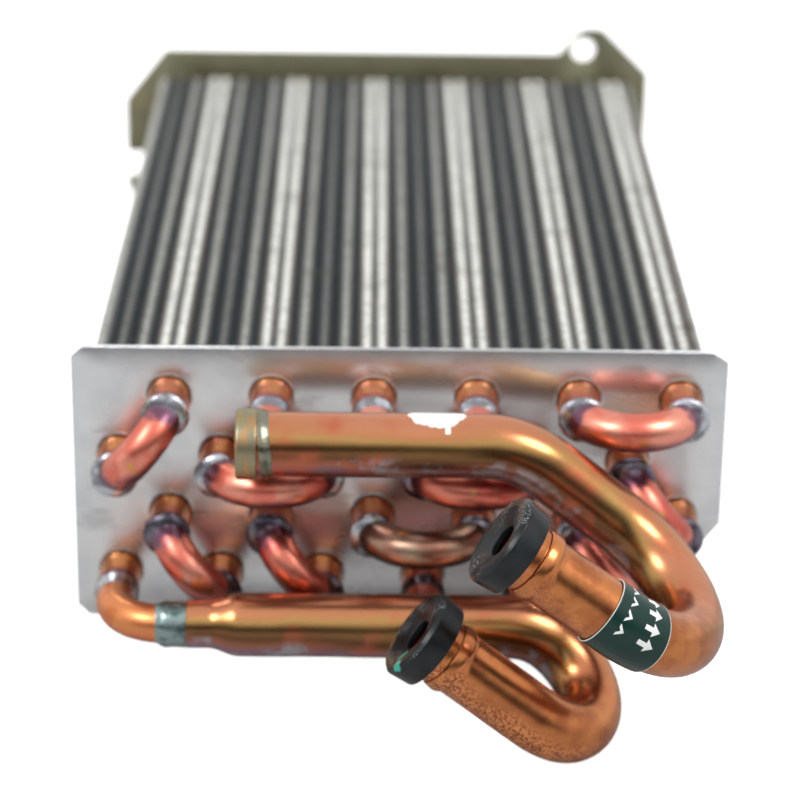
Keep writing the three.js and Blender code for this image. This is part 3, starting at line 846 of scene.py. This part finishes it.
def add_bell_braze(piece, name, seed):
    """Braze over a bell's mouth. It follows the bell and closes onto the tube that curves away from it."""
    path = PipePath([tube_centre(name, -STUB_LENGTH + 1 * MM), tube_centre(name, -STUB_LENGTH - 3 * MM)])
    ring = [
        (0.25, 5.3), (0.35, 5.62), (0.7, 5.85), (1.1, 5.92), (1.5, 5.78), (1.85, 5.45), (2.15, 4.95),
        (2.45, 4.3), (2.75, 3.5), (3.0, 2.6), (3.0, 2.3), (0.25, 4.6),
    ]
    piece.turn(path, in_mm(ring), 1, move=lumps(0.22 * MM, 4 * MM, seed))


def make_return_bend(pair, copper, filler, seed):
    first, second = pair.split("_")
    path = u_path(first, second, -BEND_START + 0.1 * MM, -BEND_START)
    piece = Piece()
    mouth = STUB_LENGTH - BEND_START
    tint = lambda s: joint_heat(min(s, path.length - s) - mouth, 9 * MM)
    marks = path.stations(0.0, path.length, 0.7 * MM)
    piece.turn(path, bend_wall(marks), segments=40, tint=tint, move=lumps(0.06 * MM, 6 * MM, seed))
    add_bell_braze(piece, first, seed + 1)
    add_bell_braze(piece, second, seed + 2)
    piece.finish(f"bend_{pair}", [copper, filler], [f"return_bend_{pair}"])


def make_feeder(name, pipe, copper, filler, node, seed):
    """A straight tube from a hairpin's bell into a header, with braze at both ends."""
    header_y = pipe["header"][0] * MM
    end = header_y + PIPE_RADIUS - SADDLE_INSERTION
    path = PipePath([tube_centre(name, -STUB_LENGTH + INSERTION), tube_centre(name, end)])
    marks = [path.length * k / 12 for k in range(13)]
    piece = Piece()
    piece.turn(path, bend_wall(marks), tint=lambda s: joint_heat(abs(s - INSERTION), 8 * MM))
    add_braze_ring(piece, path, INSERTION, seed)
    centre_z = tube_centre(name).z

    def to_saddle(point, out, ahead):
        """Slides a ring along the feeder until it follows the header's round side."""
        rise = math.sqrt(max(PIPE_RADIUS ** 2 - (point.z - centre_z) ** 2, 0.0)) - PIPE_RADIUS
        return lumps(0.15 * MM, 3 * MM, seed)(point + Vector((0, rise, 0)), out, ahead)

    mouth = -STUB_LENGTH + INSERTION - (header_y + PIPE_RADIUS)
    ring = [
        (-2.0, 4.5), (-2.0, 4.8), (-1.2, 4.95), (-0.6, 5.25), (-0.2, 5.8), (0.25, 6.0), (0.4, 5.5),
        (0.4, 4.5),
    ]
    piece.turn(path, in_mm(ring, mouth), 1, move=to_saddle)
    piece.finish(f"feeder_{name}", [copper, filler], [node])


def make_elbow(copper, filler):
    """The quarter turn from the bell of W1 into the outlet header's socket."""
    y, z = (value * MM for value in OUTLET["header"])
    start = tube_centre("W1", -STUB_LENGTH + INSERTION)
    end = Vector((OUTLET["start_x"] * MM + SOCKET_LENGTH - 0.5 * MM, y, z))
    path = PipePath([start, tube_centre("W1", y), end], [ELBOW_RADIUS])
    marks = path.stations(0.0, path.length, 0.6 * MM)
    piece = Piece()
    piece.turn(path, bend_wall(marks), segments=40, tint=lambda s: joint_heat(s - INSERTION, 5 * MM))
    add_braze_ring(piece, path, INSERTION, 31)
    piece.finish("outlet_elbow_tube", [copper, filler], ["outlet_elbow"])


# ---- header pipes and their ends

def pipe_path(pipe):
    """A header pipe's path: along the header, down a bend, round the return bend and up the leg."""
    dip, tilt = math.radians(pipe["dip"]), math.radians(pipe["tilt"])
    y, z = (value * MM for value in pipe["header"])
    ahead = Vector((math.cos(dip), 0, -math.sin(dip)))
    below = Vector((-math.sin(dip), 0, -math.cos(dip)))
    across = Vector((0, -math.cos(tilt), 0)) + below * math.sin(tilt)
    first_radius, radius = pipe["first_radius"] * MM, pipe["return_radius"] * MM
    first_corner = first_radius * math.tan(dip / 2)
    dip_corner = Vector((pipe["first_bend_x"] * MM + first_corner, y, z))
    return_start = dip_corner + ahead * (first_corner + pipe["middle_run"] * MM)
    leg_dip = math.radians(pipe["leg_dip"])
    heading = Vector((-math.cos(leg_dip), 0, math.sin(leg_dip)))
    near = return_start + ahead * radius
    last_corner = radius * math.tan(across.angle(heading) / 2)
    far = near + across * (radius + last_corner)
    last = far + heading * (last_corner + pipe["return_run"] * MM + PLUGGED_LENGTH)
    start = Vector((pipe["start_x"] * MM, y, z))
    return PipePath([start, dip_corner, near, far, last], [first_radius, radius, radius])


def cap_seat(pipe):
    """Where the rubber cap on a pipe ends, and the way the pipe points there."""
    path = pipe_path(pipe)
    return path.at(path.length - PLUGGED_LENGTH)


def smooth_step(value):
    value = min(max(value, 0.0), 1.0)
    return value * value * (3 - 2 * value)


def bead_profile(neck):
    """The groove and the rolled bead behind the cap, as (distance along the path, radius)."""
    shape = [
        (-7.1, 7.82), (-6.8, 7.95), (-6.4, 8.25), (-5.9, 8.48), (-5.3, 8.6), (-4.7, 8.58), (-4.0, 8.48),
        (-3.4, 8.38), (-3.0, 8.28), (-2.82, 8.12), (-2.74, 7.7), (-2.5, 7.7), (-2.4, 8.0), (-1.9, 8.06),
        (-0.3, 8.0),
    ]
    return in_mm(shape, neck)


def make_header(name, pipe, node, materials, add_braze, opening):
    """A header pipe whose left end has the opening's profile, (distance along the path, radius)."""
    path = pipe_path(pipe)
    bead = bead_profile(path.length - PLUGGED_LENGTH)
    begin = opening[-1][0]
    plain = bead[0][0] - begin
    count = int(plain / (1 * MM))
    marks = [begin + plain * k / count for k in range(1, count)]
    outer = opening + [(s, PIPE_RADIUS) for s in marks] + bead + [(path.length, PIPE_RADIUS)]
    bore_start = [(along, radius - 0.9 * MM) for along, radius in opening]
    bore = bore_start + [(s, PIPE_BORE) for s in marks] + [(path.length, PIPE_BORE)]
    leg, fading = path.runs[-1][0], 75 * MM
    worn = lambda s: smooth_step((s - leg + fading) / fading)
    piece = Piece()
    piece.turn(path, wall(outer, bore), segments=64, tint=worn, move=lumps(0.1 * MM, 16 * MM, 5))
    add_braze(piece, path)
    piece.finish(name, materials, [node])


def socket_profile():
    """The outlet header's left end: a small socket, a step, a straight neck and an S-shaped taper."""
    steps = [(0.0, SOCKET_RADIUS), (SOCKET_LENGTH, SOCKET_RADIUS), (SOCKET_LENGTH + 0.1 * MM, REDUCER_RADIUS)]
    taper_start = SOCKET_LENGTH + REDUCER_STRAIGHT
    for k in range(13):
        t = k / 12
        radius = REDUCER_RADIUS + (PIPE_RADIUS - REDUCER_RADIUS) * smooth_step(t)
        steps.append((taper_start + REDUCER_TAPER * t, radius))
    return steps


def add_socket_braze(piece, path):
    """The lumpy band of braze over the socket, thinning out along the elbow."""
    band = [
        (-1.6, 4.8), (-1.0, 5.0), (-0.4, 5.35), (0.6, 5.6), (2.4, 5.55), (4.2, 5.62), (5.3, 5.75),
        (5.85, 5.6), (5.85, 4.9), (-1.6, 4.4),
    ]
    piece.turn(path, in_mm(band), 1, 48, move=lumps(0.4 * MM, 3.4 * MM, 3))


def add_cap_fillet(piece, path):
    """The fillet of braze where the inlet header leaves its end cap."""
    band = [
        (4.2, 7.6), (4.2, 8.45), (5.1, 8.5), (5.5, 8.35), (5.9, 8.15), (6.4, 7.98), (7.0, 7.86), (7.0, 7.6),
    ]
    uneven = lumps(0.2 * MM, 5 * MM, 9)
    lean = lambda point, out, ahead: uneven(point - ahead * out.z * 0.8 * MM, out, ahead)
    piece.turn(path, in_mm(band), 1, 64, move=lean)


def make_end_cap():
    """A drawn cup over the inlet header's left end. Its profile closes at a pinhole on the axis."""
    low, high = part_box("inlet_header_end_cap")
    y, z = (value * MM for value in INLET["header"])
    length = high.x - low.x
    path = PipePath([Vector((low.x, y, z)), Vector((high.x, y, z))])
    outer = (high.z - low.z) / 2
    bore, floor, pinhole = 8.1 * MM, 1.3 * MM, 0.2 * MM
    cup = [(0.0, pinhole), (0.0, outer), (length, outer), (length, bore), (floor, bore), (floor, pinhole)]
    profile = [(along, max(radius, pinhole)) for along, radius in rounded(cup, 0.8 * MM, 5)]
    piece = Piece()
    piece.turn(path, profile, segments=56, move=lumps(0.1 * MM, 6 * MM, 13))
    piece.finish("inlet_end_cap", [cap_brass()], ["inlet_header_end_cap"])


def make_rubber_cap(name, pipe, node, body, material):
    neck, heading = cap_seat(pipe)
    path = PipePath([neck, neck + heading * CAP_LENGTH])
    floor = PLUGGED_LENGTH + 0.3 * MM
    corners = [
        (0.0, 8.15), (0.0, 10.7), (5.6, 11.25), (6.7, 10.3), (6.7, 8.4), (5.4, 4.4), (5.2, 3.9),
        (floor / MM, 3.9), (floor / MM, 8.15),
    ]
    profile = rounded(in_mm(corners), 0.16 * MM, 3)
    piece = Piece()
    rim = lambda s: 1.0 if s > 5.55 * MM else 0.0
    piece.turn(path, profile, segments=72, tint=rim, move=lumps(0.06 * MM, 2 * MM, 21))
    piece.finish(name, [material], [node], body)


def make_label(film, ink):
    """The label film round the end of the inlet's return bend, with paler cut edges and printed arrows."""
    path = pipe_path(INLET)
    leg = path.runs[-1][0]
    first, last = leg - LABEL_ON_BEND, leg + LABEL_ON_LEG
    edge = 0.3 * MM
    marks = sorted({first + (last - first) * k / 22 for k in range(23)} | {first + edge, last - edge})
    profile = [(s, LABEL_RADIUS) for s in marks] + [(s, LABEL_RADIUS - 0.3 * MM) for s in reversed(marks)]
    piece = Piece()
    at_edge = lambda s: 1.0 if min(s - first, last - s) < edge * 0.9 else 0.0
    piece.turn(path, profile, segments=96, tint=at_edge)
    add_arrows(piece, path, first)
    piece.finish("flow_label", [film, ink], ["inlet_flow_label"])


def add_arrows(piece, path, first):
    """Two rows of printed arrows that point along the flow, wrapped round the side that faces forwards."""
    _, _, side, up = path.frames([first])[first]
    forwards = Vector((0, -1, 0.4))
    facing_forwards = math.atan2(forwards.dot(up), forwards.dot(side))
    chevron = [(0, -1.6), (1.5, 0), (0, 1.6), (0, 0.8), (0.75, 0), (0, -0.8)]
    arrow = [(0, -0.6), (1.7, -0.6), (1.7, -1.65), (3.3, 0), (1.7, 1.65), (1.7, 0.6), (0, 0.6)]
    for k in range(4):
        angle = facing_forwards + ARROW_TURN * (k - 0.4)
        add_print(piece, path, arrow, first, 5.8 * MM, angle)
        add_print(piece, path, chevron, first, 10.2 * MM, angle)


def add_print(piece, path, outline, first, along, angle):
    """A thin flat shape laid on the film. Its outline is in millimetres, along the pipe and round it."""
    flipped = [(-x, z) for x, z in reversed(outline)]
    grid = [(x * 0.4, z * 0.4) for x in range(-9, 1) for z in range(-4, 5)]
    extra = [point for point in grid if inside(point, inset(flipped, 0.12))]
    flat, triangles = triangulate(flipped, [], extra)
    places = [first + along + u * MM for u, _ in flat]
    frames = path.frames([first, *places])
    count = len(flat)
    points = []
    for height in (0.05 * MM, -0.02 * MM):
        for (_, v), place in zip(flat, places):
            centre, _, side, up = frames[place]
            turn = angle + v * MM / LABEL_RADIUS
            out = side * math.cos(turn) + up * math.sin(turn)
            points.append(centre + out * (LABEL_RADIUS + height))
    border = len(flipped)
    rim = [(i, i + count, (i + 1) % border + count, (i + 1) % border) for i in range(border)]
    piece.add(points, [triangles, triangles[:, ::-1] + count, rim], 1)


# ---- stage

def world_light():
    """Even white light, with a dark patch low in front of the coil that shows in the polished copper."""
    world = bpy.data.worlds.new("studio")
    bpy.context.scene.world = world
    s = Shader(world)
    direction = s.node("TexCoord", {}, "Generated")
    y = s.node("SeparateXYZ", {0: direction}, 1)
    z = s.node("SeparateXYZ", {0: direction}, 2)
    card = s.times(s.fade(y, -0.35, -0.75), s.fade(z, 0.5, 0.2))
    sky = s.mix(card, (0.95, 0.96, 0.98, 1.0), (0.03, 0.03, 0.032, 1.0))
    is_camera = s.node("LightPath", {}, "Is Camera Ray")
    sky = s.mix(is_camera, sky, (1.0, 1.0, 1.0, 1.0))
    s.end(s.node("Background", {"Color": sky, "Strength": 1.0}), "World")


def aim(made, location, ahead, roll=0.0):
    """Puts a light or a camera in its place, looking along a direction."""
    made.location = location
    made.rotation_mode = "QUATERNION"
    made.rotation_quaternion = ahead.to_track_quat("-Z", "Y") @ Quaternion((0, 0, 1), roll)


def softbox(name, location, size, power):
    light = bpy.data.lights.new(name, "AREA")
    light.shape = "DISK"
    light.size = size
    light.energy = power
    target = Vector((0.02, 0.0, 0.0))
    aim(in_scene(name, light), location, target - Vector(location))


def make_floor():
    """A plain pale floor that can be seen only from above."""
    mesh = bpy.data.meshes.new("floor")
    side = 4.0
    z = CAD_LOW.z - 0.2 * MM
    corners = [(-side, -side, z), (side, -side, z), (side, side, z), (-side, side, z)]
    mesh.from_pydata(corners, [], [(0, 1, 2, 3)])
    s = Shader("floor_white")
    is_camera = s.node("LightPath", {}, "Is Camera Ray")
    paper = s.node("BsdfDiffuse", {"Color": s.mix(is_camera, (0.5, 0.5, 0.5, 1), (0.9, 0.9, 0.9, 1))})
    glow = s.node("Emission", {"Color": (1, 1, 1, 1), "Strength": s.range(is_camera, 0.0, 0.95)})
    lit = s.node("AddShader", {0: paper, 1: glow})
    below = s.node("NewGeometry", {}, "Backfacing")
    clear = s.node("BsdfTransparent", {})
    s.end(s.node("MixShader", {0: below, 1: lit, 2: clear}))
    mesh.materials.append(s.material)
    in_scene("floor", mesh)


def make_camera():
    """A long lens from above the pipework, focused on the return legs."""
    yaw, pitch, roll = math.radians(0.62), math.radians(22.21), math.radians(0.82)
    place = Vector((-7.23, -680.55, 301.11)) * MM
    ahead = Vector((math.sin(yaw) * math.cos(pitch), math.cos(yaw) * math.cos(pitch), -math.sin(pitch)))
    data = bpy.data.cameras.new("camera")
    data.lens = 133.55
    data.sensor_width = 36.0
    camera = in_scene("camera", data)
    aim(camera, place, ahead, roll)
    bpy.context.scene.camera = camera
    blur_at_home(camera, place, ahead)


def blur_at_home(camera, place, ahead):
    """Focus falls off behind the legs from the camera's own place, and everything is sharp from any other."""
    focus_distance = 0.662
    focus = in_scene("focus", None)
    focus.location = place + ahead * focus_distance
    home = in_scene("camera_home", None)
    home.location = place
    camera.data.dof.use_dof = True
    camera.data.dof.focus_object = focus
    driver = camera.data.dof.driver_add("aperture_fstop").driver
    driver.type = "SCRIPTED"
    moved = driver.variables.new()
    moved.name = "moved"
    moved.type = "LOC_DIFF"
    moved.targets[0].id = camera
    moved.targets[1].id = home
    driver.expression = "12.5 + 10000 * moved"


# ---- the coil

def make_tubes():
    stub = stub_copper()
    salmon = bend_copper("bend_copper_salmon", "f09c86", "e47a66", "7c5466")
    red = bend_copper("bend_copper_red", "e28670", "cc6256", "683f50", 6.0)
    brown = bend_copper("bend_copper_brown", "b0927c", "a87864", "6b5f56", 2.0)
    silver = braze("braze_silver", "c6c9cf", "8f8d94", "8f866a")
    dark = braze("braze_dark", "7d7884", "4c4650", "66604c")
    looks = {
        "T1_U1": (salmon, silver), "T5_T6": (salmon, silver), "U2_U3": (salmon, silver),
        "U4_U5": (red, dark), "U6_V6": (red, dark), "V1_W2": (salmon, dark), "V2_W3": (red, dark),
        "V3_V4": (brown, silver), "V5_W6": (red, silver),
    }
    for pair in HAIRPINS:
        make_hairpin(pair, stub)
    for seed, pair in enumerate(RETURN_BENDS):
        make_return_bend(pair, *looks[pair], seed * 4)
    for seed, name in enumerate(INLET_TUBES):
        make_feeder(name, INLET, salmon, silver, f"inlet_feeder_{name}", 40 + seed)
    for seed, name in enumerate(OUTLET_TUBES):
        make_feeder(name, OUTLET, red, dark, f"outlet_feeder_{name}", 50 + seed)
    elbow = bend_copper("elbow_copper", "e28e5a", "d27a4a", "b85a40", 8.0)
    make_elbow(elbow, silver)


def make_pipes():
    inlet_copper = header_copper("header_copper", 0.2)
    outlet_copper = header_copper("etched_header_copper", 1.0)
    flux = braze("braze_flux", "8fa09e", "627674", "587068")
    grey = braze("braze_grey", "8c8b7a", "6f6c5c", "87805e")
    inlet = (inlet_copper, grey)
    make_header("inlet_header", INLET, "inlet_header_pipe", inlet, add_cap_fillet, [(0.0, PIPE_RADIUS)])
    outlet = (outlet_copper, flux)
    make_header("outlet_header", OUTLET, "outlet_header_pipe", outlet, add_socket_braze, socket_profile())
    make_end_cap()
    make_label(label_film(), label_ink())
    make_rubber_cap("inlet_cap_rubber", INLET, "inlet_rubber_cap", "inlet_cap", rubber("rubber"))
    neck, heading = cap_seat(OUTLET)
    face = neck + heading * CAP_LENGTH
    dabs = [face + Vector(place) * MM for place in ((-3.8, -8.0, -4.9), (-2.5, -5.4, -3.6))]
    dabbed = rubber("rubber_dabbed", dabs)
    make_rubber_cap("outlet_cap_rubber", OUTLET, "outlet_rubber_cap", "outlet_cap", dabbed)


make_sheets()
make_fins()
make_tubes()
make_pipes()
world_light()
softbox("key_left", (-0.55, -0.45, 0.75), 0.4, 4)
softbox("key_right", (0.6, -0.35, 0.8), 0.4, 4)
make_floor()
make_camera()
bpy.context.scene.view_settings.view_transform = "Standard"
